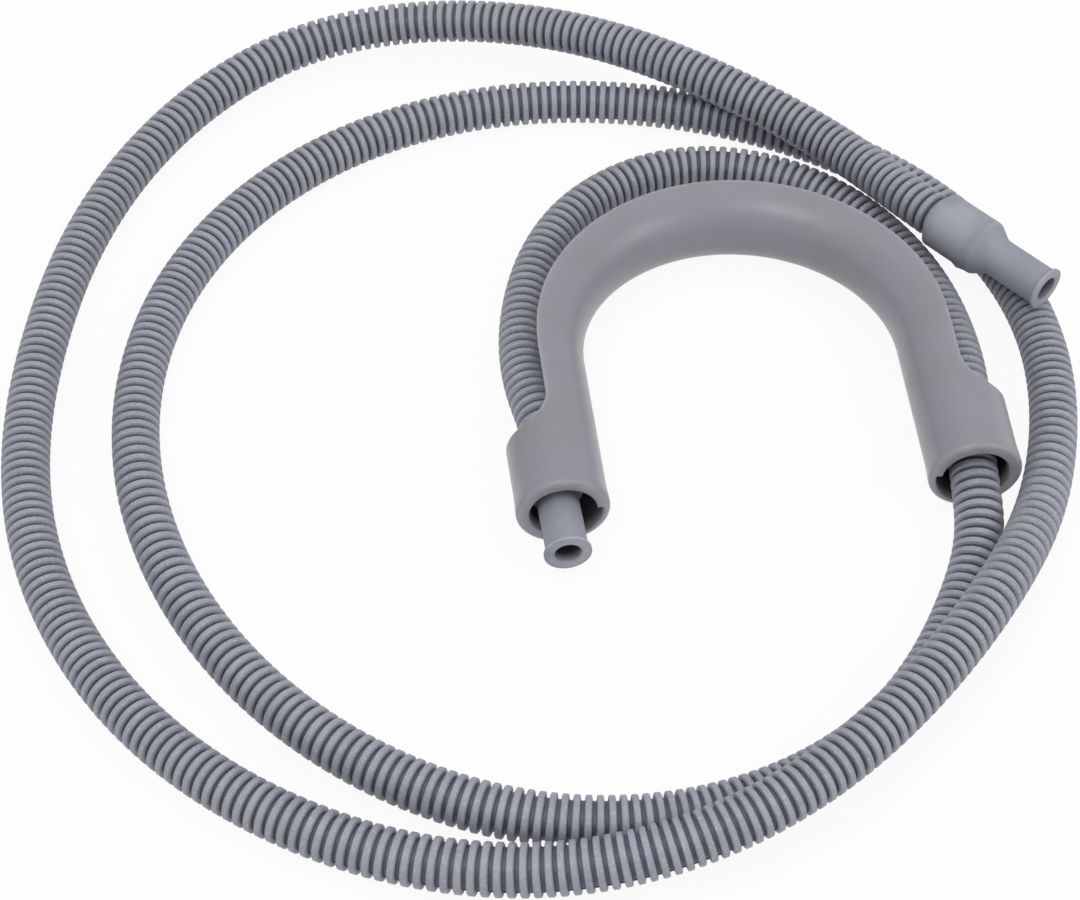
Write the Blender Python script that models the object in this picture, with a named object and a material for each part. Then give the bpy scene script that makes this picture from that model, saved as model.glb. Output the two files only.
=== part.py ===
"""Condenser dryer drain hose: one corrugated hose, a cuff on each end and a drain crook.

Metres, +Z up. The crook lies on the floor with its two mouths facing -Y and the
origin under the middle of it. The hose is the free cord of the part: here it is
a plain round tube along the same route that the picture shows.
"""
import math

import bmesh
import bpy
import numpy as np
from mathutils import Vector

MM = 0.001

# Driving sizes in millimetres. The hose diameter is the one the others were read from.
HOSE_OD = 16.0
HOSE_POINTS = 76
HOSE_BEVEL_STEPS = 3

# End cuff, measured from its tip to the mouth that takes the hose.
CUFF_LENGTH = 47.2
CUFF_BODY_LENGTH = 20.0
CUFF_CONE_LENGTH = 5.5
CUFF_WALL = 1.95
CUFF_SOCKET_CLEARANCE = 0.35
CUFF_SOCKET_STEP = 1.6
CUFF_TUBE_R = 6.9
CUFF_BORE_R = 4.4
CUFF_FLANGE_LIP = 0.9
CUFF_FLANGE_T = 1.2
CUFF_SEGMENTS = 40
HOSE_IN_CUFF = 12.0
END_GAP = 0.3

# Crook. Angles round the pipe: 0 towards the inside of the bend, 90 up, 180 outwards.
BEND_R = 69.0
BEND_CENTRE_Y = -3.2
LEG_LEAN_DEG = 1.1
LEFT_LEG_LENGTH = 61.9
RIGHT_LEG_LENGTH = 60.1
CHANNEL_CLEARANCE = 2.7
CROOK_WALL = 2.1
RIM_FLARE = 0.3
LIP_HEIGHT = 1.9
LIP_DEPTH = 5.0
LIP_FROM_DEG = 5.0
LIP_TO_DEG = 237.0
FREE_EDGE_OFFSET = 0.9
COLLAR_LENGTH = 28.0
COLLAR_DRAFT = 0.5
NOTCH_FILLET_R = 12.5
CUT_OVERRUN = 3.0

SOCKET_R = HOSE_OD / 2 + CUFF_SOCKET_CLEARANCE
CUFF_BODY_R = SOCKET_R + CUFF_WALL
CHANNEL_R = CUFF_BODY_R + CHANNEL_CLEARANCE
PIPE_R = CHANNEL_R + CROOK_WALL
RIM_R = PIPE_R + RIM_FLARE

# The tips of the two cuffs, and the route of the hose from cuff mouth to cuff mouth.
DRAIN_TIP = (-68.0, -82.4, 14.5)
MACHINE_TIP = (107.8, 7.9, 24.4)
ROUTE = [
    (-70.4, -35.3, 14.8), (-73.5, -11.0, 12.6), (-69.3, 38.5, 9.0), (-46.5, 79.5, 8.2),
    (-6.5, 97.5, 8.4), (35.0, 85.5, 8.2), (65.8, 48.2, 8.0), (75.3, 0.0, 10.8),
    (73.3, -27.0, 13.3), (68.7, -58.0, 12.8), (65.8, -82.0, 9.8), (54.0, -110.0, 8.3),
    (24.5, -148.5, 8.0), (-25.0, -174.0, 8.0), (-82.0, -174.6, 8.0), (-140.5, -146.2, 8.0),
    (-187.3, -89.0, 8.0), (-206.4, -20.0, 8.0), (-193.2, 54.0, 8.0), (-147.5, 111.0, 8.0),
    (-80.0, 138.6, 8.0), (-9.2, 133.2, 8.0), (48.0, 106.0, 8.0), (91.5, 58.0, 8.0),
    (106.3, -5.0, 8.2), (92.8, -64.0, 10.2), (66.0, -110.4, 21.1), (29.7, -150.6, 23.8),
    (-20.1, -183.7, 20.9), (-75.0, -193.0, 12.2), (-140.0, -177.6, 8.0), (-205.8, -125.9, 8.0),
    (-239.8, -50.0, 8.0), (-238.5, 35.0, 8.0), (-206.0, 124.6, 8.4), (-140.0, 180.0, 12.0),
    (-62.2, 173.5, 20.0), (3.2, 131.0, 25.6), (53.3, 84.5, 22.0), (78.4, 45.1, 25.0),
]

HOSE_GREY = (0.30, 0.31, 0.36, 1.0)
CUFF_GREY = (0.28, 0.29, 0.34, 1.0)
CROOK_GREY = (0.27, 0.27, 0.29, 1.0)


def plastic(name, colour, roughness):
    mat = bpy.data.materials.new(name)
    mat.use_nodes = True
    shader = mat.node_tree.nodes["Principled BSDF"]
    shader.inputs["Base Color"].default_value = colour
    shader.inputs["Roughness"].default_value = roughness
    shader.inputs["Metallic"].default_value = 0.0
    mat.diffuse_color = colour
    return mat


def object_from(bm, name, mat):
    """Closed mesh object with its faces pointing out, smooth but for its sharp edges."""
    bmesh.ops.recalc_face_normals(bm, faces=bm.faces[:])
    mesh = bpy.data.meshes.new(name)
    bm.to_mesh(mesh)
    bm.free()
    mesh.shade_smooth()
    mesh.set_sharp_from_angle(angle=math.radians(35))
    obj = bpy.data.objects.new(name, mesh)
    bpy.context.scene.collection.objects.link(obj)
    obj.data.materials.append(mat)
    return obj


def unit(v):
    return v / np.linalg.norm(v)


def smooth_curve(points, start_dir, end_dir):
    """Cubic spline through the points with the given end directions, as a dense path."""
    p = np.array(points, float)
    step = np.diff(p, axis=0)
    h = np.linalg.norm(step, axis=1)
    n = len(p)
    a = np.eye(n)
    b = np.zeros((n, 3))
    b[0], b[-1] = start_dir, end_dir
    for i in range(1, n - 1):
        a[i, i - 1:i + 2] = 1 / h[i - 1], 2 / h[i - 1] + 2 / h[i], 1 / h[i]
        b[i] = 3 * (step[i - 1] / h[i - 1] ** 2 + step[i] / h[i] ** 2)
    m = np.linalg.solve(a, b)
    rows = []
    for i in range(n - 1):
        t = np.linspace(0, 1, 60, endpoint=False)[:, None]
        rows.append((2 * t**3 - 3 * t**2 + 1) * p[i] + (t**3 - 2 * t**2 + t) * h[i] * m[i]
                    + (3 * t**2 - 2 * t**3) * p[i + 1] + (t**3 - t**2) * h[i] * m[i + 1])
    return np.vstack(rows + [p[-1:]])


def cuff_axis(tip, mouth):
    """Direction of a cuff from its tip to the mouth that takes the hose."""
    return unit(np.array(mouth, float) - np.array(tip, float))


def build_hose(mat):
    """Plain round tube along the route, running straight for a little way in each cuff."""
    first = cuff_axis(DRAIN_TIP, ROUTE[0])
    last = -cuff_axis(MACHINE_TIP, ROUTE[-1])
    dense = smooth_curve(ROUTE, first, last)
    dense[:, 2] = np.maximum(dense[:, 2], HOSE_OD / 2)
    start = np.array(DRAIN_TIP) + first * (CUFF_LENGTH - HOSE_IN_CUFF)
    end = np.array(MACHINE_TIP) - last * (CUFF_LENGTH - HOSE_IN_CUFF)
    along = np.r_[0, np.cumsum(np.linalg.norm(np.diff(dense, axis=0), axis=1))]
    even = np.linspace(0, along[-1], HOSE_POINTS - 2)
    free = np.column_stack([np.interp(even, along, dense[:, k]) for k in range(3)])
    path = np.vstack([start, free, end]) * MM

    curve = bpy.data.curves.new("drain_hose", "CURVE")
    curve.dimensions = "3D"
    curve.bevel_depth = HOSE_OD / 2 * MM
    curve.bevel_resolution = HOSE_BEVEL_STEPS
    curve.use_fill_caps = True
    spline = curve.splines.new("POLY")
    spline.points.add(len(path) - 1)
    for point, xyz in zip(spline.points, path):
        point.co = (*xyz, 1.0)
    obj = bpy.data.objects.new("drain_hose", curve)
    bpy.context.scene.collection.objects.link(obj)
    obj.data.materials.append(mat)
    return obj


def cuff_profile():
    """Closed profile of a cuff as (distance from the tip, radius), outside first, then inside."""
    body_start = CUFF_LENGTH - CUFF_BODY_LENGTH
    tube_end = body_start - CUFF_CONE_LENGTH
    flange_r = CUFF_TUBE_R + CUFF_FLANGE_LIP
    shoulder = CUFF_LENGTH - HOSE_IN_CUFF - END_GAP
    throat_r = SOCKET_R - CUFF_SOCKET_STEP
    edge = 0.3
    return [
        (0.0, CUFF_BORE_R + edge), (0.0, flange_r - edge), (edge, flange_r),
        (CUFF_FLANGE_T - 0.2, flange_r), (CUFF_FLANGE_T, flange_r - 0.25),
        (CUFF_FLANGE_T + 0.3, CUFF_TUBE_R + 0.15), (CUFF_FLANGE_T + 1.0, CUFF_TUBE_R),
        (tube_end - 0.6, CUFF_TUBE_R), (tube_end + 0.4, CUFF_TUBE_R + 0.3),
        (body_start - 0.9, CUFF_BODY_R - 0.55), (body_start, CUFF_BODY_R - 0.1),
        (body_start + 0.9, CUFF_BODY_R), (CUFF_LENGTH - 1.2, CUFF_BODY_R),
        (CUFF_LENGTH - 0.45, CUFF_BODY_R - 0.3), (CUFF_LENGTH, CUFF_BODY_R - 1.0),
        (CUFF_LENGTH, SOCKET_R), (shoulder, SOCKET_R), (shoulder, throat_r),
        (body_start + 2.5, throat_r), (tube_end, CUFF_BORE_R), (edge, CUFF_BORE_R),
    ]


def build_cuff(name, tip, mouth, mat):
    """Moulded end cuff, turned about its axis: flange, small tube, cone, body and socket."""
    axis = cuff_axis(tip, mouth)
    side = unit(np.cross(axis, (0.0, 0.0, 1.0)))
    up = np.cross(side, axis)
    bm = bmesh.new()
    rings = []
    for along, radius in cuff_profile():
        ring = []
        for k in range(CUFF_SEGMENTS):
            a = 2 * math.pi * k / CUFF_SEGMENTS
            p = np.array(tip) + axis * along + radius * (math.cos(a) * side + math.sin(a) * up)
            ring.append(bm.verts.new(Vector(p * MM)))
        rings.append(ring)
    for i, ring in enumerate(rings):
        nxt = rings[(i + 1) % len(rings)]
        for k in range(CUFF_SEGMENTS):
            j = (k + 1) % CUFF_SEGMENTS
            bm.faces.new((ring[k], ring[j], nxt[j], nxt[k]))
    return object_from(bm, name, mat)


def leg(side):
    """Mouth centre of a leg, the way up it and the way outwards; side is -1 left, 1 right."""
    lean = math.radians(LEG_LEAN_DEG)
    length = LEFT_LEG_LENGTH if side < 0 else RIGHT_LEG_LENGTH
    up = np.array((side * math.sin(lean), math.cos(lean)))
    outward = np.array((side * math.cos(lean), -math.sin(lean)))
    bend_end = np.array((0.0, BEND_CENTRE_Y)) + BEND_R * outward
    return bend_end - up * length, up, outward, length


def bend_angles(count):
    """Angles along the bend from the left leg's end to the right leg's."""
    lean = math.radians(LEG_LEAN_DEG)
    return np.linspace(math.pi + lean, -lean, count)


def crook_stations():
    """Stations along the U: centre, way towards the inside, and distance from the mouth."""
    rim = [0.0, 0.2, 0.6, 1.4, 3.0, LIP_DEPTH, LIP_DEPTH + 0.3, LIP_DEPTH + 3.0]
    sides = {}
    for side in (-1, 1):
        mouth, up, outward, length = leg(side)
        steps = rim + list(np.linspace(COLLAR_LENGTH / 2, length, 6)[:-1])
        sides[side] = [(mouth + up * d, -outward, d) for d in steps]
    rows = sides[-1]
    for a in bend_angles(43):
        outward = np.array((math.cos(a), math.sin(a)))
        rows.append((np.array((0.0, BEND_CENTRE_Y)) + BEND_R * outward, -outward, BEND_R))
    return rows + sides[1][::-1]


def outer_radius(d, a):
    """Outside of the pipe: rounded flared rim, then a collar that widens outwards with draft."""
    rim = float(np.interp(d, [0.0, 0.2, 0.6, 1.4, 3.0, LIP_DEPTH + 3.0],
                          [RIM_R - 1.4, RIM_R - 0.8, RIM_R - 0.35, RIM_R, RIM_R, PIPE_R]))
    outwards = ((1 - math.cos(a)) / 2) ** 2
    return rim + COLLAR_DRAFT * outwards * min(1.0, d / COLLAR_LENGTH)


def inner_radius(d, in_lip):
    """Inside of the pipe: the channel, and at each mouth a lip over part of the round."""
    base = CHANNEL_R - LIP_HEIGHT if in_lip and d <= LIP_DEPTH else CHANNEL_R
    return base + (0.3 if d == 0.0 else 0.0)


def build_crook(mat):
    """Full pipe along the U, then the outer half of it cut away between the two collars."""
    lip = np.radians(np.linspace(LIP_FROM_DEG + 0.6, LIP_TO_DEG - 0.6, 34))
    rest = np.radians(np.linspace(LIP_TO_DEG + 0.6, LIP_FROM_DEG + 359.4, 18))
    angles = [(a, True) for a in lip] + [(a, False) for a in rest]
    bm = bmesh.new()
    outer, inner = [], []
    for centre, inward, d in crook_stations():
        for rings, inside in ((outer, False), (inner, True)):
            ring = []
            for a, in_lip in angles:
                r = inner_radius(d, in_lip) if inside else outer_radius(d, a)
                x, y = centre + r * math.cos(a) * inward
                ring.append(bm.verts.new((x * MM, y * MM, (RIM_R + r * math.sin(a)) * MM)))
            rings.append(ring)
    count = len(angles)
    for rings in (outer, inner):
        for r0, r1 in zip(rings, rings[1:]):
            for k in range(count):
                j = (k + 1) % count
                bm.faces.new((r0[k], r0[j], r1[j], r1[k]))
    for end in (0, -1):
        for k in range(count):
            j = (k + 1) % count
            bm.faces.new((outer[end][k], outer[end][j], inner[end][j], inner[end][k]))
    crook = object_from(bm, "hose_crook", mat)
    cut = crook.modifiers.new("open_outer_half", "BOOLEAN")
    cut.operation = "DIFFERENCE"
    cut.solver = "EXACT"
    cut.object = build_notch_cutter(mat)
    return crook


def notch_side(side):
    """Plan points of one side of the notch: square top of the collar, then its large fillet."""
    mouth, up, outward, _ = leg(side)
    reach = 2 * PIPE_R
    points = [mouth + up * COLLAR_LENGTH + outward * reach]
    centre = (mouth + up * (COLLAR_LENGTH + NOTCH_FILLET_R)
              + outward * (FREE_EDGE_OFFSET + NOTCH_FILLET_R))
    for k in range(13):
        a = math.radians(90 * k / 12)
        points.append(centre - NOTCH_FILLET_R * (math.sin(a) * outward + math.cos(a) * up))
    return points


def build_notch_cutter(mat):
    """Upright block whose inner edge is the plan line of the crook's free edge."""
    free_edge = [(BEND_R + FREE_EDGE_OFFSET) * np.array((math.cos(a), math.sin(a)))
                 + np.array((0.0, BEND_CENTRE_Y)) for a in bend_angles(67)]
    far_x = BEND_R + 2 * PIPE_R
    far_y = BEND_CENTRE_Y + BEND_R + 2 * PIPE_R
    outline = (notch_side(-1) + free_edge + notch_side(1)[::-1]
               + [np.array((far_x, far_y)), np.array((-far_x, far_y))])
    bm = bmesh.new()
    low = [bm.verts.new((x * MM, y * MM, -CUT_OVERRUN * MM)) for x, y in outline]
    high = [bm.verts.new((x * MM, y * MM, (2 * RIM_R + CUT_OVERRUN) * MM)) for x, y in outline]
    n = len(outline)
    bm.faces.new(low)
    bm.faces.new(high)
    for k in range(n):
        j = (k + 1) % n
        bm.faces.new((low[k], low[j], high[j], high[k]))
    cutter = object_from(bm, "notch_cutter", mat)
    cutter.hide_render = True
    cutter.display_type = "WIRE"
    return cutter


def main():
    for obj in list(bpy.data.objects):
        bpy.data.objects.remove(obj, do_unlink=True)
    hose_mat = plastic("hose_grey", HOSE_GREY, 0.5)
    drain_cuff_mat = plastic("drain_cuff_grey", CUFF_GREY, 0.6)
    machine_cuff_mat = plastic("machine_cuff_grey", CUFF_GREY, 0.6)
    crook_mat = plastic("crook_grey", CROOK_GREY, 0.45)
    build_hose(hose_mat)
    build_cuff("drain_end_cuff", DRAIN_TIP, ROUTE[0], drain_cuff_mat)
    build_cuff("machine_end_cuff", MACHINE_TIP, ROUTE[-1], machine_cuff_mat)
    build_crook(crook_mat)


main()
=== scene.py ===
# %% [markdown]
# # The looks of a condenser dryer drain hose
#
# The part is a long corrugated hose, a soft cuff on each of its ends, and a stiff crook that hooks
# the drain end over a basin. The solids of the part come in as a fixed frame. This script makes the
# fine surfaces around them, in metres and in the same frame, and then the materials and the light.

# %% Load the frame
import math

import bmesh
import bpy
import numpy as np
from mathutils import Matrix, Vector


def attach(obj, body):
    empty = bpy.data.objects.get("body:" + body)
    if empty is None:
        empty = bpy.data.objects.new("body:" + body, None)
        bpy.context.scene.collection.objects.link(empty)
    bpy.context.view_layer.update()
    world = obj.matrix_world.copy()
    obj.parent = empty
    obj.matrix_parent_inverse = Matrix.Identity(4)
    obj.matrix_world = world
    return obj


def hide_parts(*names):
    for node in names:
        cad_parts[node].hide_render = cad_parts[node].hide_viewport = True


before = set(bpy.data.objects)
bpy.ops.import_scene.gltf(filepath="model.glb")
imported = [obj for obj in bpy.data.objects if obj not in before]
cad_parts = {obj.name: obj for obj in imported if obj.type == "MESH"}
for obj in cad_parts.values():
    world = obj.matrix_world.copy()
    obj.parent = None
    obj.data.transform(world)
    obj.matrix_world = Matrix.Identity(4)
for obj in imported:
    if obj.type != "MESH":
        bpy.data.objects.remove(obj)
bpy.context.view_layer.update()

print("nodes:", sorted(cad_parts))

# %% [markdown]
# ## The camera
#
# The picture looks down at about 50 degrees, from a little to the left of straight ahead. The
# camera is set first, because everything that lies loose is judged by how much of it shows. Its
# place and lens were fitted to the picture, which is 1080 pixels wide and 900 high.

# %% Camera
MM = 0.001
CAMERA_PLACE = (-0.11974, -0.51045, 0.57959)
CAMERA_TILT_DEG = 40.0
CAMERA_TURN_DEG = -5.7
CAMERA_LENS_MM = 74.43
CAMERA_SENSOR_MM = 36.0
CAMERA_CLIP_M = (0.05, 20.0)

camera_data = bpy.data.cameras.new("photo_camera")
camera_data.lens = CAMERA_LENS_MM
camera_data.sensor_width = CAMERA_SENSOR_MM
camera_data.clip_start, camera_data.clip_end = CAMERA_CLIP_M
camera = bpy.data.objects.new("photo_camera", camera_data)
camera.location = CAMERA_PLACE
camera.rotation_euler = (math.radians(CAMERA_TILT_DEG), 0.0, math.radians(CAMERA_TURN_DEG))
bpy.context.scene.collection.objects.link(camera)
bpy.context.scene.camera = camera
print("camera at", tuple(camera.location), "lens", camera_data.lens)

# %% [markdown]
# ## From arrays to a mesh
#
# Every new piece here is worked out as an array of points, so two small helpers are enough. One
# numbers the corners of the cells of a grid. The other puts points and faces into a mesh, merges
# the points that meet along a seam, turns the faces outwards and shades it smooth, with a crease
# only where two faces meet at a real edge.

# %% Grid and mesh helpers
MERGE_M = 2e-7
CREASE_DEG = 38.0


def grid_faces(rows, cols, wrap=False):
    """Corners (i, j), (i, j + 1), (i + 1, j + 1), (i + 1, j) of each cell of a grid.

    The points are counted row by row. With wrap, the last column joins the first one.
    """
    i, j = np.meshgrid(np.arange(rows - 1), np.arange(cols if wrap else cols - 1), indexing="ij")
    k = (j + 1) % cols
    corners = [i * cols + j, i * cols + k, (i + 1) * cols + k, (i + 1) * cols + j]
    return np.stack(corners, -1).reshape(-1, 4)


def make_piece(name, points_mm, faces, replaced, values):
    """Object at the origin with its place in its mesh, standing for the named solid.

    Values holds one number per point under each name, for the materials to read.
    """
    mesh = bpy.data.meshes.new(name)
    mesh.from_pydata((points_mm * MM).tolist(), [], faces)
    for value_name, numbers in values.items():
        mesh.attributes.new(value_name, "FLOAT", "POINT").data.foreach_set("value", numbers)
    bm = bmesh.new()
    bm.from_mesh(mesh)
    bmesh.ops.remove_doubles(bm, verts=bm.verts, dist=MERGE_M)
    bmesh.ops.recalc_face_normals(bm, faces=bm.faces)
    open_edges = sum(not edge.is_manifold for edge in bm.edges)
    bm.to_mesh(mesh)
    bm.free()
    mesh.shade_smooth()
    mesh.set_sharp_from_angle(angle=math.radians(CREASE_DEG))
    piece = bpy.data.objects.new(name, mesh)
    bpy.context.scene.collection.objects.link(piece)
    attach(piece, "root")
    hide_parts(replaced)
    triangles = sum(len(p.vertices) - 2 for p in mesh.polygons)
    print(name, "triangles", triangles, "open edges", open_edges)
    return piece


# %% [markdown]
# ## The line of the hose
#
# A hose is a fixed length of something springy, so its line is one smooth curve: out of the drain
# cuff, up the crook, through two loose loops on the table and into the other cuff, which lies on
# top of the hose. The points below were chosen along that route, and then moved a little to lie
# on the middle of the hose as it was measured in the picture.

# %% Route of the hose
HOSE_R = 8.0
CUFF_LENGTH = 47.2
HOSE_IN_CUFF = 12.0
DRAIN_TIP = np.array((-68.0, -82.4, 14.5))
MACHINE_TIP = np.array((107.8, 7.9, 24.4))
ROUTE = np.array([
    (-70.4, -35.3, 14.8), (-73.5, -11.0, 12.6), (-69.3, 38.5, 9.0), (-46.5, 79.5, 8.2),
    (-6.5, 97.5, 8.4), (35.0, 85.5, 8.2), (65.8, 48.2, 8.0), (75.3, 0.0, 10.8),
    (73.3, -27.0, 13.3), (68.7, -58.0, 12.8), (65.8, -82.0, 9.8), (54.0, -110.0, 8.3),
    (24.5, -148.5, 8.0), (-25.0, -174.0, 8.0), (-82.0, -174.6, 8.0), (-140.5, -146.2, 8.0),
    (-187.3, -89.0, 8.0), (-206.4, -20.0, 8.0), (-193.2, 54.0, 8.0), (-147.5, 111.0, 8.0),
    (-80.0, 138.6, 8.0), (-9.2, 133.2, 8.0), (48.0, 106.0, 8.0), (91.5, 58.0, 8.0),
    (106.3, -5.0, 8.2), (92.8, -64.0, 10.2), (66.0, -110.4, 21.1), (29.7, -150.6, 23.8),
    (-20.1, -183.7, 20.9), (-75.0, -193.0, 12.2), (-140.0, -177.6, 8.0), (-205.8, -125.9, 8.0),
    (-239.8, -50.0, 8.0), (-238.5, 35.0, 8.0), (-206.0, 124.6, 8.4), (-140.0, 180.0, 12.0),
    (-62.2, 173.5, 20.0), (3.2, 131.0, 25.6), (53.3, 84.5, 22.0), (78.4, 45.1, 25.0),
])
print("route points", len(ROUTE))

# %% [markdown]
# A cubic spline joins the points, because it bends like a thin strip: nowhere is there a sudden
# change of curvature. It leaves each cuff along the cuff's own axis, and it is kept at least the
# hose's radius above the table.

# %% Line of the hose
SPAN_STEPS = 60


def unit(v):
    """Vector of length 1 in the same direction: v over its length."""
    return v / np.linalg.norm(v, axis=-1, keepdims=True)


def spline_through(points, first_dir, last_dir):
    """Cubic spline: each span is a third-degree polynomial of the way along its chord.

    Slope and curvature run on from span to span, and the slope at both ends is given. The
    slopes at the points are the solution of one set of linear equations.
    """
    step = np.diff(points, axis=0)
    h = np.linalg.norm(step, axis=1)
    inner = np.arange(1, len(points) - 1)
    a = np.eye(len(points))
    a[inner, inner - 1], a[inner, inner + 1] = 1 / h[:-1], 1 / h[1:]
    a[inner, inner] = 2 / h[:-1] + 2 / h[1:]
    b = np.zeros_like(points)
    b[0], b[-1] = first_dir, last_dir
    b[1:-1] = 3 * (step[:-1] / h[:-1, None] ** 2 + step[1:] / h[1:, None] ** 2)
    slope = np.linalg.solve(a, b)
    t = np.linspace(0, 1, SPAN_STEPS, endpoint=False)[None, :, None]
    start, end = points[:-1, None], points[1:, None]
    out, back = (slope[:-1] * h[:, None])[:, None], (slope[1:] * h[:, None])[:, None]
    spans = ((2 * t**3 - 3 * t**2 + 1) * start + (t**3 - 2 * t**2 + t) * out
             + (3 * t**2 - 2 * t**3) * end + (t**3 - t**2) * back)
    return np.vstack([spans.reshape(-1, 3), points[-1:]])


drain_axis = unit(ROUTE[0] - DRAIN_TIP)
machine_axis = unit(ROUTE[-1] - MACHINE_TIP)
free_line = spline_through(ROUTE, drain_axis, -machine_axis)
free_line[:, 2] = np.maximum(free_line[:, 2], HOSE_R)
hose_start = DRAIN_TIP + drain_axis * (CUFF_LENGTH - HOSE_IN_CUFF)
hose_end = MACHINE_TIP + machine_axis * (CUFF_LENGTH - HOSE_IN_CUFF)
hose_line = np.vstack([hose_start, free_line, hose_end])
hose_along = np.r_[0, np.cumsum(np.linalg.norm(np.diff(hose_line, axis=0), axis=1))]
HOSE_LENGTH = hose_along[-1]
print("hose length", round(HOSE_LENGTH, 1), "mm")

# %% [markdown]
# ## The corrugated hose
#
# The real hose is a thin tube of polyethylene, blown into a row of ring-shaped moulds, which makes
# broad, flat-topped ribs with soft corners and narrow grooves between them. The ribs let it bend
# without closing. They could be an Array of one rib along a curve, but that shears each copy. Here
# the rib's profile is carried along the line instead: one ring of points for each corner of the
# profile, at right angles to the line.

# %% Rings round the line
LOOK_AHEAD = 1.0


def line_point(distance):
    """Point of the hose's line at each distance from its start."""
    return np.stack([np.interp(distance, hose_along, hose_line[:, k]) for k in range(3)], -1)


def hose_frame(distance):
    """Point, sideways and upwards direction of the hose at each distance along it.

    Sideways is level and at right angles to the line; upwards is at right angles to both.
    """
    forward = unit(line_point(distance + LOOK_AHEAD) - line_point(distance - LOOK_AHEAD))
    side = unit(np.cross(forward, (0.0, 0.0, 1.0)))
    return line_point(distance), side, np.cross(side, forward)


def hose_point(distance, angle, radius):
    """Point at that distance along the line, turned by angle from sideways towards up."""
    at, side, up = hose_frame(distance)
    ring = np.cos(angle)[..., None] * side[:, None] + np.sin(angle)[..., None] * up[:, None]
    return at[:, None] + radius[..., None] * ring


print("hose rises to", round(float(hose_line[:, 2].max() + HOSE_R), 1), "mm")

# %% [markdown]
# The ribs are not spaced evenly. The way the coils were laid pulls them apart on some stretches and
# presses them together on others. The distance from one rib to the next was measured in the picture
# and set, rounded, at places along the hose, closer together where it changes quickly. The
# number of ribs passed on the way to each point of the line is the sum of its steps over their
# pitch, and each ring is put where its own number is reached.

# %% Ribs and grooves
RIB_DEPTH = 1.75
RING_SIDES = 24
# One rib: where each ring lies within the pitch, and how deep it is as a share of the depth.
RING_AT = np.array([0.15, 0.2, 0.28, 0.72, 0.8, 0.85])
RING_DEPTH = np.array([1.0, 0.22, 0.0, 0.0, 0.22, 1.0])
# At places along the hose in mm: how far one rib is from the next, in mm.
PITCH_AT = np.array([0, 200, 370, 410, 450, 540, 770, 880, 1060, 1130, 1175, 1220, 1310, 1365, 1450,
                     1540, 1630, 1760, 1900, 2010, 2170, 2260, 2400])
RIB_PITCH = np.array([4.0, 3.7, 3.7, 3.9, 3.55, 3.45, 3.9, 3.6, 3.8, 3.7, 4.0, 3.6, 3.35, 4.7, 3.7,
                      3.35, 3.8, 3.45, 3.7, 3.95, 3.85, 3.5, 3.65])

pitch_here = np.interp(hose_along[1:], PITCH_AT, RIB_PITCH)
ribs_passed = np.r_[0, np.cumsum(np.diff(hose_along) / pitch_here)]
rib_count = int(ribs_passed[-1])
ring_number = (ribs_passed[-1] - rib_count) / 2 + np.arange(rib_count)[:, None] + RING_AT
ring_at = np.interp(ring_number.ravel(), ribs_passed, hose_along)
ring_depth = np.tile(RING_DEPTH, rib_count)
ring_at = np.r_[0.0, ring_at, HOSE_LENGTH]
ring_depth = np.r_[1.0, ring_depth, 1.0]
turn = np.linspace(0, 2 * np.pi, RING_SIDES, endpoint=False)
ring_angle = np.broadcast_to(turn, (len(ring_at), RING_SIDES))
ring_radius = np.broadcast_to((HOSE_R - RIB_DEPTH * ring_depth)[:, None], ring_angle.shape)
tube = hose_point(ring_at, ring_angle, ring_radius).reshape(-1, 3)
tube_faces = grid_faces(len(ring_at), RING_SIDES, wrap=True).tolist()
tube_faces += [list(range(RING_SIDES)), list(range(len(tube) - RING_SIDES, len(tube)))]
print("ribs", rib_count)

# %% [markdown]
# A thin fin of plastic is left where the two mould halves meet, on both sides, and it bridges the
# grooves. It turns slowly round the hose, and it stands higher where the mould shut less tightly.
# It is a low wall with a square section, carried along the same line and set into the tube.

# %% Fins and the finished hose
SEAM_STEP = 4.0
SEAM_WIDTH = 0.45
SEAM_FOOT_R = 6.0
# At places along the hose: how far the fin stands above level on the inner side of the bend, and
# how far it rises out of the grooves.
SEAM_AT = np.array([0.0, 1300.0, 1360.0, 1420.0, 1480.0, 1560.0, 2100.0, 2190.0, 2400.0])
SEAM_TURN_DEG = np.array([-20.0, -5.0, 10.0, 19.0, 26.0, 26.0, -20.0, -38.0, -38.0])
SEAM_RISE = np.array([0.3, 0.3, 0.6, 0.6, 0.6, 0.3, 0.3, 1.3, 1.3])

seam_at = np.linspace(HOSE_IN_CUFF, HOSE_LENGTH - HOSE_IN_CUFF, int(HOSE_LENGTH / SEAM_STEP))
seam_turn = np.radians(np.interp(seam_at, SEAM_AT, SEAM_TURN_DEG))
seam_rise = np.interp(seam_at, SEAM_AT, SEAM_RISE)
seam_top = (HOSE_R - RIB_DEPTH + seam_rise)[:, None]
seam_radius = np.where([False, True, True, False], seam_top, SEAM_FOOT_R)
half_width = np.array([-0.5, -0.5, 0.5, 0.5]) * SEAM_WIDTH / HOSE_R
points, faces = [tube], tube_faces
for side_angle in (0.0, np.pi):
    fin_angle = side_angle + seam_turn[:, None] + half_width
    fin = hose_point(seam_at, fin_angle, seam_radius).reshape(-1, 3)
    first = sum(len(p) for p in points)
    fin_faces = grid_faces(len(seam_at), 4, wrap=True).tolist()
    fin_faces += [[0, 1, 2, 3], list(range(len(fin) - 4, len(fin)))]
    faces += [[first + k for k in face] for face in fin_faces]
    points.append(fin)
seam_pale = np.repeat((seam_rise - SEAM_RISE.min()) / np.ptp(SEAM_RISE), 4)
# The groove value is each ring's depth as a share, and 1 on the fins; the material paints shade
# with it.
hose_values = {
    "groove": np.r_[np.repeat(ring_depth, RING_SIDES), np.ones(2 * len(seam_pale))],
    "seam": np.r_[np.zeros(len(tube)), seam_pale, seam_pale],
}
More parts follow.
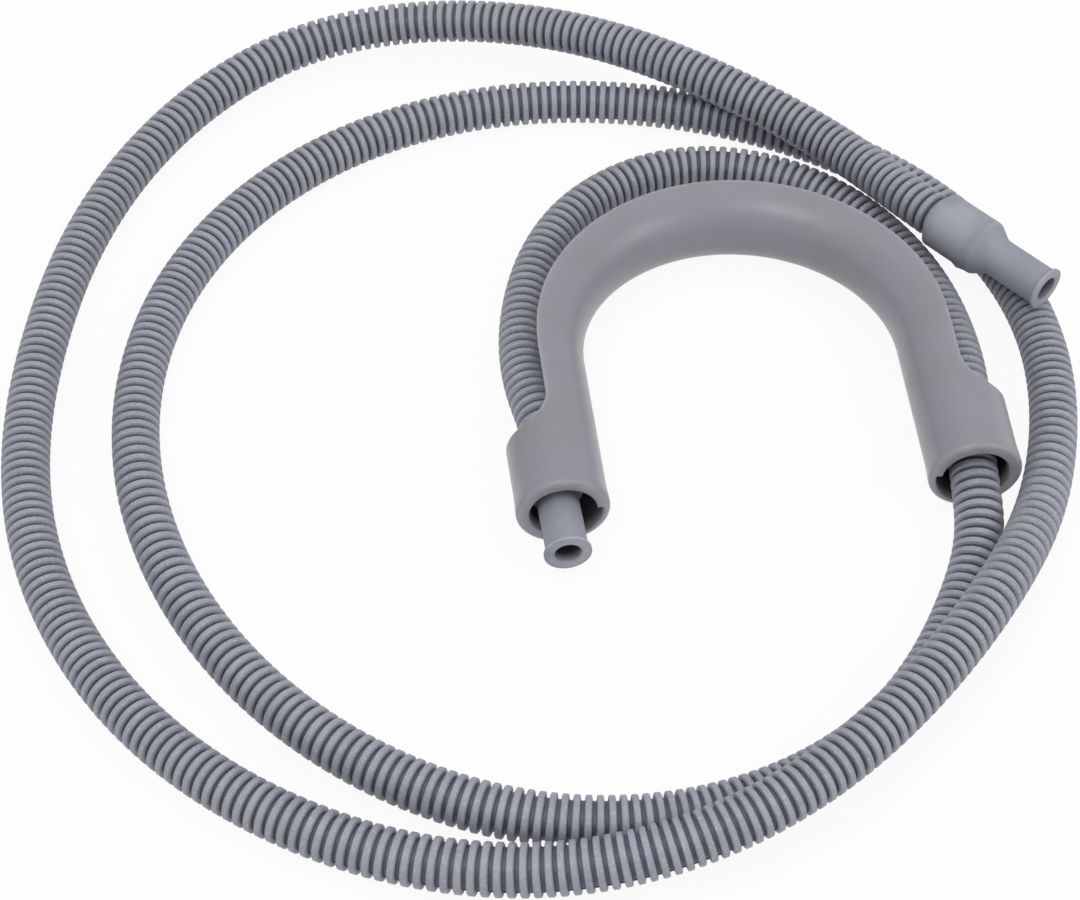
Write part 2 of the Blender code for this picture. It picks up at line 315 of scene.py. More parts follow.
hose = make_piece("corrugated_hose", np.vstack(points), faces, "drain_hose",
                  hose_values)

# %% [markdown]
# ## The two end cuffs
#
# Each end has a cuff of soft PVC, pushed over the hose: a wide body that grips the ribs, a short
# cone, a narrow tube and a flange that stops it. It was moulded, so all its edges are rounded, and
# a speck of flash is left where the mould closed. A turned form is its profile carried round an
# axis. The profile is written as its sharp corners, each with its own rounding.

# %% Cuff profile
SOCKET_ROOM = 0.35
CUFF_WALL = 1.95
BODY_LENGTH = 20.0
CONE_LENGTH = 5.5
TUBE_R = 6.9
BORE_R = 4.4
FLANGE_LIP = 0.9
FLANGE_T = 1.2
SHOULDER_ROOM = 0.3
SHOULDER_STEP = 1.6
THROAT_LENGTH = 2.5

SOCKET_R = HOSE_R + SOCKET_ROOM
BODY_R = SOCKET_R + CUFF_WALL
FLANGE_R = TUBE_R + FLANGE_LIP
BODY_AT = CUFF_LENGTH - BODY_LENGTH
CONE_AT = BODY_AT - CONE_LENGTH
SHOULDER_AT = CUFF_LENGTH - HOSE_IN_CUFF - SHOULDER_ROOM
THROAT_R = SOCKET_R - SHOULDER_STEP
THROAT_AT = BODY_AT + THROAT_LENGTH
# Corners up the outside and back down the bore: distance from the tip, radius, rounding, and how
# much the corner is rubbed in use and painted with a highlight.
CUFF_CORNERS = np.array([
    (0.0, BORE_R, 0.35, 0.4), (0.0, FLANGE_R, 0.3, 1.0), (FLANGE_T, FLANGE_R, 0.3, 1.0),
    (FLANGE_T, TUBE_R, 0.9, 0.0), (CONE_AT, TUBE_R, 1.2, 0.0), (BODY_AT, BODY_R, 0.9, 0.4),
    (CUFF_LENGTH, BODY_R, 0.5, 0.3), (CUFF_LENGTH, SOCKET_R, 0.2, 0.0),
    (SHOULDER_AT, SOCKET_R, 0.2, 0.0), (SHOULDER_AT, THROAT_R, 0.2, 0.0),
    (THROAT_AT, THROAT_R, 0.6, 0.0), (CONE_AT, BORE_R, 0.6, 0.0),
])
print("cuff corners", len(CUFF_CORNERS))

# %% [markdown]
# Each corner becomes a small curve. The straights between the corners are cut in even steps, so
# that the rub and the painted highlight on a rim can fade along them.

# %% Rounded outline
ROUND_STEPS = 6
STRAIGHT_STEPS = 6
ROUND_SHARE = 0.45


def rounded_outline(corners):
    """Closed outline with each corner replaced by a curve, and its straights cut in even steps.

    The curve is a quadratic Bezier: (1 - t)^2 A + 2 t (1 - t) C + t^2 B, where C is the sharp
    corner and A and B lie the rounding's length before and after it, or ROUND_SHARE of the side
    where that is shorter. The third number of each point is its rub and painted highlight. On the
    curve it is 4 t (1 - t) times the corner's. On a straight it is the root of the product of the
    values at its two ends.
    """
    spot, size = corners[:, :2], corners[:, 2:3]
    ways = [np.roll(spot, shift, axis=0) - spot for shift in (1, -1)]
    lengths = [np.linalg.norm(way, axis=1, keepdims=True) for way in ways]
    before, after = [spot + way / length * np.minimum(size, ROUND_SHARE * length)
                     for way, length in zip(ways, lengths)]
    t = np.linspace(0, 1, ROUND_STEPS)[None, :, None]
    curve = (1 - t) ** 2 * before[:, None] + 2 * t * (1 - t) * spot[:, None] + t**2 * after[:, None]
    w = np.linspace(0, 1, STRAIGHT_STEPS + 1)[None, 1:-1, None]
    straight = after[:, None] * (1 - w) + np.roll(before, -1, axis=0)[:, None] * w
    corner_rub_and_highlight = corners[:, None, 3:]
    curve_rub_and_highlight = 4 * t * (1 - t) * corner_rub_and_highlight
    straight_rub_and_highlight = np.sqrt(corner_rub_and_highlight * np.roll(corner_rub_and_highlight, -1, axis=0)) * np.ones_like(w)
    outline = np.block([[curve, curve_rub_and_highlight], [straight, straight_rub_and_highlight]])
    return outline.reshape(-1, 3)


cuff_outline = rounded_outline(CUFF_CORNERS)
print("cuff outline points", len(cuff_outline))

# %% [markdown]
# The turned surface is a grid again: along the outline one way and round the axis the other. The
# speck of flash is a small bell-shaped rise of the radius, low on the side that faces the viewer.

# %% Cuffs
CUFF_SIDES = 120
FLASH_HEIGHT = 1.0
FLASH_SIZE = 0.65
FLASH_AT = BODY_AT + 4.0
FLASH_BAND = 1.5
FLASH_DRAIN_DEG = -90.0
FLASH_MACHINE_DEG = -149.0
BORE_SHADE_FADE = 4.0
BORE_SHADE_BAND = 0.01


def smooth_step(x):
    """Goes from 0 to 1 while x does, level at both ends: 3 x^2 - 2 x^3."""
    x = np.clip(x, 0.0, 1.0)
    return x * x * (3 - 2 * x)


def cuff_surface(name, tip, axis, flash_deg, replaced):
    """Tip plus axis times the way along plus radius times a unit vector that goes round.

    The flash adds its height times e to minus the squared distance from it over its squared size.
    The last row of cells joins the end of the outline to its start.
    """
    side = unit(np.cross(axis, (0.0, 0.0, 1.0)))
    up = np.cross(side, axis)
    angle = np.linspace(0, 2 * np.pi, CUFF_SIDES, endpoint=False)[None]
    along, radius, rub_and_highlight = np.hsplit(cuff_outline, 3)
    round_way = (angle - math.radians(flash_deg) + np.pi) % (2 * np.pi) - np.pi
    bell = np.exp(-((along - FLASH_AT) ** 2 + (round_way * BODY_R) ** 2) / FLASH_SIZE**2)
    radius = radius + FLASH_HEIGHT * bell * (radius > BODY_R - FLASH_BAND)
    ring = np.cos(angle)[..., None] * side + np.sin(angle)[..., None] * up
    points = tip + along[..., None] * axis + radius[..., None] * ring
    faces = grid_faces(len(cuff_outline) + 1, CUFF_SIDES, wrap=True) % points[..., 0].size
    # Painted shade in the bore: 1 on the bore's wall, fading in from the tip.
    inner = smooth_step(along / BORE_SHADE_FADE) * (radius < BORE_R + BORE_SHADE_BAND)
    values = {"rub_and_highlight": np.broadcast_to(rub_and_highlight, radius.shape).ravel(), "inner": inner.ravel()}
    return make_piece(name, points.reshape(-1, 3), faces.tolist(), replaced, values)


drain_cuff = cuff_surface("drain_cuff", DRAIN_TIP, drain_axis, FLASH_DRAIN_DEG, "drain_end_cuff")
machine_cuff = cuff_surface("machine_cuff", MACHINE_TIP, machine_axis, FLASH_MACHINE_DEG,
                            "machine_end_cuff")

# %% [markdown]
# The hose and its two cuffs move together when it is picked up.

print("cord", round(2 * HOSE_R, 1), "mm thick")

# %% [markdown]
# ## The line of the crook
#
# The crook is a U of stiff plastic: two straight legs that lean in a little towards their mouths
# and a half circle that joins them. Its line is written as one function of the distance from the
# left mouth, so that a whole row of places is worked out at once.

# %% Line of the crook
BEND_R = 69.0
BEND_CENTRE = np.array((0.0, -3.2))
LEG_LEAN = math.radians(1.1)
LEFT_LEG = 61.9
RIGHT_LEG = 60.1
BEND_LENGTH = BEND_R * (math.pi + 2 * LEG_LEAN)
CROOK_LENGTH = LEFT_LEG + BEND_LENGTH + RIGHT_LEG


def crook_line(s):
    """Centre and outward direction in plan, s millimetres from the left mouth.

    In the bend the direction turns evenly with s. On a leg it stays as it is at the bend's end,
    and the centre goes straight on by what is left of s.
    """
    turned = np.clip(s - LEFT_LEG, 0.0, BEND_LENGTH)
    angle = math.pi + LEG_LEAN - turned / BEND_R
    outward = np.stack([np.cos(angle), np.sin(angle)], -1)
    forward = np.stack([np.sin(angle), -np.cos(angle)], -1)
    straight = (s - LEFT_LEG - turned)[:, None]
    return BEND_CENTRE + BEND_R * outward + straight * forward, outward


print("crook length along its line", round(CROOK_LENGTH, 1), "mm")

# %% [markdown]
# ## The wall of the crook
#
# The crook is a pipe, whole at each mouth for the length of a collar and cut open on its outer side
# between them, so that the hose can be pressed in. A Boolean would leave long thin faces along the
# cut. Here the outside and the inside are two grids of distance along the line by angle round the
# pipe, and every point that would lie beyond the cut is pulled back to it. The rows near the cut
# are placed so that it passes through corners of the grid, which keeps its curve clean.

# %% Sections of the crook
CHANNEL_ROOM = 2.7
CROOK_WALL = 2.1
RIM_FLARE = 0.3
RIM_ROUND = 1.4
LIP_HEIGHT, LIP_DEPTH = 1.9, 5.0
LIP_FROM_DEG, LIP_TO_DEG = 5.0, -123.0
LIP_CHAMFER = 0.3
FLARE_FROM, FLARE_LENGTH = 2.0, LIP_DEPTH + 1.0
COLLAR_LENGTH = 28.0
COLLAR_SLOPE = 0.25
COLLAR_DRAFT = 0.5

CHANNEL_R = BODY_R + CHANNEL_ROOM
PIPE_R = CHANNEL_R + CROOK_WALL
RIM_R = PIPE_R + RIM_FLARE
COLLAR_TOP = COLLAR_LENGTH - COLLAR_SLOPE


def outer_radius(d, a):
    """Outside of the pipe at distance d from the nearer mouth and angle a.

    A quarter circle rounds the rim, the flare behind it fades out, and the collar widens
    towards its outer side with the square of (1 - cos a) / 2.
    """
    into_round = 1 - np.clip(d / RIM_ROUND, 0, 1)
    rim = RIM_R - RIM_ROUND * (1 - np.sqrt(1 - into_round**2))
    flare = (RIM_R - PIPE_R) * smooth_step((d - FLARE_FROM) / FLARE_LENGTH)
    draft = COLLAR_DRAFT * ((1 - np.cos(a)) / 2) ** 2 * np.minimum(1.0, d / COLLAR_TOP)
    return rim - flare + draft


def inner_radius(d, a):
    """Inside of the pipe, smaller by the lip's height just behind each mouth."""
    beside = (a > math.radians(LIP_FROM_DEG)) | (a < math.radians(LIP_TO_DEG))
    lip = LIP_HEIGHT * (beside & (d <= LIP_DEPTH))
    return CHANNEL_R - lip + np.maximum(0.0, LIP_CHAMFER - d)


print("channel", round(2 * CHANNEL_R, 1), "mm wide in a pipe of", round(2 * PIPE_R, 1), "mm")

# %% [markdown]
# Seen from above, the cut comes in along the top of a collar, turns down its leg in a quarter
# circle, and then runs just outside the centre line to the other collar. Two functions hold it: one
# from distance to offset, and one the other way round.

# %% Cut of the crook
EDGE_OFFSET = 0.9
NOTCH_R = 12.5

FILLET_AT = COLLAR_LENGTH + NOTCH_R
FILLET_OFFSET = EDGE_OFFSET + NOTCH_R
WIDEST_R = PIPE_R + COLLAR_DRAFT


def cut_offset(d):
    """How far outside the centre line the cut runs, in plan, at distance d from the mouth.

    It is the widest radius at the top of the collar, then a quarter circle down to the free
    edge's small offset.
    """
    top = np.interp(d, [COLLAR_TOP, COLLAR_LENGTH], [WIDEST_R, FILLET_OFFSET])
    fillet = FILLET_OFFSET - np.sqrt(np.maximum(NOTCH_R**2 - (FILLET_AT - d) ** 2, 0.0))
    return np.where(d < COLLAR_LENGTH, top, np.where(d < FILLET_AT, fillet, EDGE_OFFSET))


def cut_distance(offset):
    """The other way round: the distance from the mouth at which the cut has that offset."""
    on_top = COLLAR_LENGTH - COLLAR_SLOPE * (offset - FILLET_OFFSET) / (WIDEST_R - FILLET_OFFSET)
    below = np.minimum(FILLET_OFFSET - offset, NOTCH_R)
    on_fillet = FILLET_AT - np.sqrt(np.maximum(NOTCH_R**2 - below**2, 0.0))
    return np.where(offset > FILLET_OFFSET, on_top, on_fillet)


print("the quarter circle ends", FILLET_AT, "mm from the mouth")

# %% [markdown]
# Rows and columns are chosen together. Columns stand every three degrees, with a close pair at
# each end of the lip. Rows are close at the rounded rim and where the cut crosses a column.

# %% Grid of the crook
COLUMN_STEP_DEG = 3
LIP_STEP_DEG = 0.2
RIM_ROWS = 9
LIP_ROWS = (2.2, 3.2, 4.2)
LIP_BACK = 0.03
COLLAR_ROW_STEP = 2.5
ROW_MARGIN = 1.0
FILLET_END = 3.0
FILLET_ROWS = 5
LEG_ROWS = (45.0, 50.0, 55.0)
BEND_ROW_STEP = 2.6
CUT_FROM_DEG = 94.0
CROSSING_ROUNDS = 3

even_deg = np.arange(-180, 181, COLUMN_STEP_DEG, dtype=float)
lip_ends = [edge + way * LIP_STEP_DEG for edge in (LIP_FROM_DEG, LIP_TO_DEG) for way in (-1, 1)]
column = np.radians(np.sort(np.r_[even_deg[even_deg != LIP_TO_DEG], lip_ends]))

# Where the cut crosses a column depends on the radius there, so each round comes nearer to it.
rim_turn = np.radians(np.linspace(0, 90, RIM_ROWS))
crossing = column[column > np.radians(CUT_FROM_DEG)]
crossing_offset = -WIDEST_R * np.cos(crossing)
for _ in range(CROSSING_ROUNDS):
    crossing_at = cut_distance(crossing_offset)
    crossing_offset = -outer_radius(crossing_at, crossing) * np.cos(crossing)
side_rows = np.unique(np.r_[
    RIM_ROUND * (1 - np.cos(rim_turn)), LIP_CHAMFER, LIP_ROWS, LIP_DEPTH, LIP_DEPTH + LIP_BACK,
    np.arange(LIP_DEPTH + ROW_MARGIN, COLLAR_TOP - ROW_MARGIN, COLLAR_ROW_STEP), COLLAR_TOP,
    cut_distance(crossing_offset), cut_distance(np.array([CHANNEL_R])),
    np.linspace(FILLET_AT - FILLET_END, FILLET_AT, FILLET_ROWS), LEG_ROWS,
])
bend_rows = np.linspace(LEFT_LEG, LEFT_LEG + BEND_LENGTH, int(BEND_LENGTH / BEND_ROW_STEP))
row = np.r_[side_rows, bend_rows, (CROOK_LENGTH - side_rows)[::-1]]
mouth_distance = np.minimum(row, CROOK_LENGTH - row)[:, None]
offset = cut_offset(mouth_distance)
print("crook grid", len(row), "by", len(column))

# %% [markdown]
# The cut is upright, so it meets the outside and the inside at the same offset in plan, but at two
# angles. The strip between the two edges is the cut face. Where the cut lies outside the channel,
# at the top of a collar, the strip ends on the level through the middle of the pipe instead.

# %% Surfaces of the crook
EDGE_ROUNDS = 40


def crook_point(angle, radius):
    """Centre line minus radius times cos a outwards, raised by the rim's radius plus sin a."""
    centre, outward = crook_line(row)
    plan = centre[:, None] - (radius * np.cos(angle))[..., None] * outward[:, None]
    return np.concatenate([plan, (RIM_R + radius * np.sin(angle))[..., None]], axis=-1)


outer_edge = np.full_like(offset, np.pi)
for _ in range(EDGE_ROUNDS):
    ratio = np.minimum(offset / outer_radius(mouth_distance, outer_edge), 1.0)
    outer_edge = np.where(mouth_distance < COLLAR_TOP, np.pi, np.arccos(-ratio))
inner_edge = np.arccos(-np.minimum(offset, CHANNEL_R) / CHANNEL_R)

outer_angle = np.clip(column, -outer_edge, outer_edge)
inner_angle = np.clip(column, -inner_edge, inner_edge)
outside = crook_point(outer_angle, outer_radius(mouth_distance, outer_angle))
inside = crook_point(inner_angle, inner_radius(mouth_distance, inner_angle))

strip_height = np.sqrt(np.maximum(CHANNEL_R**2 - offset**2, 0.0))
strip_angle = np.arctan2(strip_height, -offset) * np.array([-1.0, 1.0])
strip = crook_point(strip_angle, np.hypot(strip_height, offset) * np.ones(2))
print("crook rises to", round(float(outside[..., 2].max()), 1), "mm")

# %% [markdown]
# The faces join the grids: the cells of the outside and the inside, the strip of the cut face on
# both sides, and a ring at each mouth. Two values go with each point, for the material: how near it
# is to a rubbed edge, which also sets a painted highlight, and how far inside a collar it lies,
# which sets a painted shade.

# %% The finished crook
RUB_AND_HIGHLIGHT_WIDTH = 0.7
INNER_SHADE_FADE = 5.0
ANGLE_SLACK = 1e-9

size = outside[..., 0].size
cells = grid_faces(len(row), len(column))
crook_faces = [cells, cells[:, ::-1] + size]
is_open = outer_edge[:, 0] < np.pi - ANGLE_SLACK
open_step = np.flatnonzero(is_open[:-1] | is_open[1:])
for strip_side, edge_column in ((0, 0), (1, len(column) - 1)):
    outer_at = open_step * len(column) + edge_column
    strip_at = 2 * size + open_step * 2 + strip_side
    crook_faces.append(np.stack([outer_at, outer_at + len(column), strip_at + 2, strip_at], -1))
for mouth_row in (0, len(row) - 1):
    first = mouth_row * len(column) + np.arange(len(column) - 1)
    crook_faces.append(np.stack([first, first + 1, first + 1 + size, first + size], -1))

# How near each point is to a rim or to the cut, for its rub and painted highlight: 1 there, and
# less with e to the distance in mm.
to_cut = np.where(is_open[:, None], (outer_edge - np.abs(outer_angle)) * PIPE_R, PIPE_R)
near_edge = np.exp(-np.minimum(to_cut, mouth_distance) / RUB_AND_HIGHLIGHT_WIDTH)
crook_points = np.vstack([grid.reshape(-1, 3) for grid in (outside, inside, strip)])
crook_rub_and_highlight = np.r_[near_edge.ravel(), np.zeros(size), np.ones(2 * len(row))]
# How far inside a collar each row is, for the painted shade there: 0 at the mouth and in the open
# channel, and 1 between them.
from_mouth = smooth_step(mouth_distance / INNER_SHADE_FADE)
in_collar = from_mouth * smooth_step((FILLET_AT - mouth_distance) / NOTCH_R)
crook_inner_shade = np.r_[np.zeros(size), np.repeat(in_collar, len(column)), np.zeros(2 * len(row))]
crook = make_piece("crook", crook_points, np.vstack(crook_faces).tolist(),
                   "hose_crook", {"rub_and_highlight": crook_rub_and_highlight, "inner": crook_inner_shade})

# %% [markdown]
# ## Materials
#
# All three plastics are grey, but they were made in three ways, and that is what tells them apart.
# Colours are written as sRGB hex values and turned to linear light by one function. One more
# function adds a node with its settings and its links.

# %% Colour and node helpers
# A Mix node has sockets of the same name for each kind of data, so they are told apart by number.
# These are its factor and its three colour sockets.
MIX_FACTOR, MIX_A, MIX_B, MIX_RESULT = 0, 6, 7, 2


def linear(hex_colour):
    """Linear colour of an sRGB hex value: c / 12.92 when dark, ((c + 0.055) / 1.055)^2.4 above."""
    c = np.array([int(hex_colour[k:k + 2], 16) for k in (1, 3, 5)]) / 255
    rgb = np.where(c <= 0.04045, c / 12.92, ((c + 0.055) / 1.055) ** 2.4)
    return (*rgb.tolist(), 1.0)


def scale_for(size_mm):
    """Scale of a noise on Object coordinates, in metres, whose spots are size_mm wide."""
    return 1.0 / (size_mm * MM)


def new_material(name):
    """New material and its shader, whose inputs the cells below fill."""
    material = bpy.data.materials.new(name)
    material.use_nodes = True
    return material, material.node_tree.nodes["Principled BSDF"]


def connect(owner, node, links):
    """Gives each input its plain value, or a link from another node's output.

    The owner is the material or the world that the node belongs to.
    """
    for name, value in links.items():
        if isinstance(value, bpy.types.NodeSocket):
            owner.node_tree.links.new(value, node.inputs[name])
        else:
            node.inputs[name].default_value = value


def add_node(owner, kind, links, **settings):
    """Adds a node: settings are its own options, and links are its inputs."""
    node = owner.node_tree.nodes.new(kind)
    for name, value in settings.items():
        setattr(node, name, value)
    connect(owner, node, links)
    return node


# %% [markdown]
# ## The hose: blow-moulded polyethylene
#
# The film of plastic is blown against a cold mould, so it keeps no crisp texture: the ribs are
# waxy, half matt, and a little uneven. The floors of the grooves are painted darker, as the shade
# that falls into them. The fin of the seam is thin and lets light through, so it looks paler. An
# image could give all this, but noise on the hose's own coordinates needs no file, and two
# attributes tell the material where the grooves and fins are.

# %% Hose noises
HOSE_TINT_MM = 70.0
HOSE_BLOTCH_MM = 9.0
# The real skin of the plastic has dimples of a quarter of a millimetre. They are drawn four times
# as wide, so that they still show at the size of the picture.
HOSE_SKIN_MM = 1.0

hose_material, shader = new_material("blow_moulded_polyethylene")
place = add_node(hose_material, "ShaderNodeTexCoord", {}).outputs["Object"]
groove_here = add_node(hose_material, "ShaderNodeAttribute", {},
                       attribute_name="groove").outputs["Fac"]
seam_here = add_node(hose_material, "ShaderNodeAttribute", {},
                     attribute_name="seam").outputs["Fac"]
tint = add_node(hose_material, "ShaderNodeTexNoise", {
    "Vector": place, "Scale": scale_for(HOSE_TINT_MM), "Detail": 1.0}).outputs["Fac"]
blotch = add_node(hose_material, "ShaderNodeTexNoise", {
    "Vector": place, "Scale": scale_for(HOSE_BLOTCH_MM), "Detail": 4.0,
    "Roughness": 0.6}).outputs["Fac"]
skin = add_node(hose_material, "ShaderNodeTexNoise", {
    "Vector": place, "Scale": scale_for(HOSE_SKIN_MM), "Detail": 2.0,
    "Roughness": 0.5}).outputs["Fac"]
print("hose noises", HOSE_TINT_MM, HOSE_BLOTCH_MM, HOSE_SKIN_MM, "mm wide")

# %% [markdown]
# The colour goes on in coats: a slow change of tint, darker blotches, pale worn flecks, then
# painted shade on the groove floors and last the pale fin. A noise keeps near 0.5, so a Map Range
# spreads its middle out before it mixes two colours. The blotches also set how waxy the surface is,
# from place to place.

# %% Hose colour and finish
RIB_GREY = linear("#9699A6")
RIB_GREY_WARM = linear("#97989F")
RIB_GREY_DEEP = linear("#8A8D9A")
RIB_GREY_WORN = linear("#A9ABB3")
# Painted shade: the dark grey of the groove floors.
GROOVE_SHADE_GREY = linear("#50535F")
SEAM_GREY = linear("#9A9CA6")
HOSE_TINT_FROM, HOSE_TINT_TO = 0.4, 0.6
HOSE_BLOTCH_FROM, HOSE_BLOTCH_TO = 0.36, 0.64
HOSE_FLECK_FROM, HOSE_FLECK_TO = 0.54, 0.7
HOSE_FLECK_MOST = 0.7
GROOVE_SHADE_FROM = 0.4
WIDE_FROM, WIDE_TO = 0.3, 0.7
HOSE_ROUGHNESS = (0.42, 0.58)
HOSE_SKIN_DEPTH = 0.00012
HOSE_IOR = 1.52

warm = add_node(hose_material, "ShaderNodeMapRange", {
    "Value": tint, "From Min": HOSE_TINT_FROM, "From Max": HOSE_TINT_TO}).outputs["Result"]
spread = add_node(hose_material, "ShaderNodeMapRange", {
    "Value": blotch, "From Min": HOSE_BLOTCH_FROM, "From Max": HOSE_BLOTCH_TO}).outputs["Result"]
fleck = add_node(hose_material, "ShaderNodeMapRange", {
    "Value": skin, "From Min": HOSE_FLECK_FROM, "From Max": HOSE_FLECK_TO,
    "To Max": HOSE_FLECK_MOST}).outputs["Result"]
tinted = add_node(hose_material, "ShaderNodeMix", {
    MIX_FACTOR: warm, MIX_A: RIB_GREY, MIX_B: RIB_GREY_WARM},
    data_type="RGBA").outputs[MIX_RESULT]
uneven = add_node(hose_material, "ShaderNodeMix", {
    MIX_FACTOR: spread, MIX_A: RIB_GREY_DEEP, MIX_B: tinted},
    data_type="RGBA").outputs[MIX_RESULT]
flecked = add_node(hose_material, "ShaderNodeMix", {
    MIX_FACTOR: fleck, MIX_A: uneven, MIX_B: RIB_GREY_WORN},
    data_type="RGBA").outputs[MIX_RESULT]
# Painted shade on the floors of the grooves and the foot of their walls.
groove_shade = add_node(hose_material, "ShaderNodeMapRange", {
    "Value": groove_here, "From Min": GROOVE_SHADE_FROM, "From Max": 1.0}).outputs["Result"]
groove_shaded = add_node(hose_material, "ShaderNodeMix", {
    MIX_FACTOR: groove_shade, MIX_A: flecked, MIX_B: GROOVE_SHADE_GREY},
    data_type="RGBA").outputs[MIX_RESULT]
seamed = add_node(hose_material, "ShaderNodeMix", {
    MIX_FACTOR: seam_here, MIX_A: groove_shaded, MIX_B: SEAM_GREY},
    data_type="RGBA").outputs[MIX_RESULT]
waxy = add_node(hose_material, "ShaderNodeMapRange", {
    "Value": blotch, "From Min": WIDE_FROM, "From Max": WIDE_TO,
    "To Min": HOSE_ROUGHNESS[0], "To Max": HOSE_ROUGHNESS[1]}).outputs["Result"]
dimples = add_node(hose_material, "ShaderNodeBump", {
    "Height": skin, "Distance": HOSE_SKIN_DEPTH}).outputs["Normal"]
connect(hose_material, shader, {
    "Base Color": seamed, "Roughness": waxy, "Normal": dimples, "IOR": HOSE_IOR})
hose.data.materials.append(hose_material)
print(hose_material.name, "nodes", len(hose_material.node_tree.nodes))

# %% [markdown]
# ## The cuffs: moulded soft PVC
#
# Soft PVC comes out of a spark-eroded mould with an even, fine grain, and is matt like rubber.
# Handling leaves it a little cloudy. The rims and the front of the flange are drawn paler,
# partly as wear and partly as a painted highlight. The bore is painted dark, as shade. One
# material serves both cuffs, because they came out of the same mould.

# %% Cuff noises
CUFF_CLOUD_MM = 14.0
# The grain of such a mould is 0.1 mm wide. It is drawn seven times as wide, or nothing would show.
CUFF_GRAIN_MM = 0.7

cuff_material, shader = new_material("moulded_soft_pvc")
place = add_node(cuff_material, "ShaderNodeTexCoord", {}).outputs["Object"]
rub_and_highlight_here = add_node(cuff_material, "ShaderNodeAttribute", {},
                    attribute_name="rub_and_highlight").outputs["Fac"]
inner_shade_here = add_node(cuff_material, "ShaderNodeAttribute", {},
                      attribute_name="inner").outputs["Fac"]
cloud = add_node(cuff_material, "ShaderNodeTexNoise", {
    "Vector": place, "Scale": scale_for(CUFF_CLOUD_MM), "Detail": 3.0,
    "Roughness": 0.5}).outputs["Fac"]
grain = add_node(cuff_material, "ShaderNodeTexNoise", {
    "Vector": place, "Scale": scale_for(CUFF_GRAIN_MM), "Detail": 1.0}).outputs["Fac"]
print("cuff noises", CUFF_CLOUD_MM, CUFF_GRAIN_MM, "mm wide")

# %% [markdown]
# The coats are the cloudy grey, the patchy rub and painted highlight on the rims, and painted
# shade in the bore. The grain makes the roughness and the small pits, and a trace of sheen gives
# the dusty bloom of PVC.

# %% Cuff colour and finish
CUFF_GREY = linear("#8F919D")
CUFF_GREY_CLOUD = linear("#888A96")
# Rims: partly wear, partly a painted highlight. Bore: painted shade.
CUFF_GREY_RUB_AND_HIGHLIGHT = linear("#ABACB1")
CUFF_GREY_INNER_SHADE = linear("#34353A")
CUFF_CLOUD_FROM, CUFF_CLOUD_TO = 0.38, 0.62
CUFF_ROUGHNESS = (0.68, 0.84)
CUFF_GRAIN_DEPTH = 0.00003
CUFF_IOR = 1.53
CUFF_SHEEN, CUFF_SHEEN_ROUGHNESS = 0.06, 0.5

spread = add_node(cuff_material, "ShaderNodeMapRange", {
    "Value": cloud, "From Min": CUFF_CLOUD_FROM, "From Max": CUFF_CLOUD_TO}).outputs["Result"]
cloudy = add_node(cuff_material, "ShaderNodeMix", {
    MIX_FACTOR: spread, MIX_A: CUFF_GREY_CLOUD, MIX_B: CUFF_GREY},
    data_type="RGBA").outputs[MIX_RESULT]
# Partly wear and partly a painted highlight on the rims and the front of the flange.
patchy_rub_and_highlight = add_node(cuff_material, "ShaderNodeMath", {0: rub_and_highlight_here, 1: spread},
                      operation="MULTIPLY").outputs[0]
rubbed_and_highlit = add_node(cuff_material, "ShaderNodeMix", {
    MIX_FACTOR: patchy_rub_and_highlight, MIX_A: cloudy, MIX_B: CUFF_GREY_RUB_AND_HIGHLIGHT},
    data_type="RGBA").outputs[MIX_RESULT]
# Painted shade in the bore.
inner_shaded = add_node(cuff_material, "ShaderNodeMix", {
    MIX_FACTOR: inner_shade_here, MIX_A: rubbed_and_highlit, MIX_B: CUFF_GREY_INNER_SHADE},
    data_type="RGBA").outputs[MIX_RESULT]
matt = add_node(cuff_material, "ShaderNodeMapRange", {
    "Value": grain, "From Min": WIDE_FROM, "From Max": WIDE_TO,
    "To Min": CUFF_ROUGHNESS[0], "To Max": CUFF_ROUGHNESS[1]}).outputs["Result"]
pits = add_node(cuff_material, "ShaderNodeBump", {
    "Height": grain, "Distance": CUFF_GRAIN_DEPTH}).outputs["Normal"]
connect(cuff_material, shader, {
    "Base Color": inner_shaded, "Roughness": matt, "Normal": pits, "IOR": CUFF_IOR,
    "Sheen Weight": CUFF_SHEEN, "Sheen Roughness": CUFF_SHEEN_ROUGHNESS})
drain_cuff.data.materials.append(cuff_material)
machine_cuff.data.materials.append(cuff_material)
print(cuff_material.name, "nodes", len(cuff_material.node_tree.nodes))

# %% [markdown]
# ## The crook: injection-moulded polypropylene
#
# Polypropylene is pressed into a polished steel mould, so it has a satin gloss of its own and a
# very fine skin. The melt runs from the gate along both legs, which leaves faint, wide streaks in
# the colour. The cut edges and the rims of the mouths are drawn paler, partly as wear and partly
# as a painted highlight. The inside of the collars is drawn darker than the plastic is, as painted
# shade, so that the mouths look deep.

# %% Crook noises
CROOK_STREAK_MM = 26.0
CROOK_MOTTLE_MM = 5.0
# The skin of the mould is 0.1 mm fine. It is drawn eight times as wide so that it shows.
CROOK_SKIN_MM = 0.8

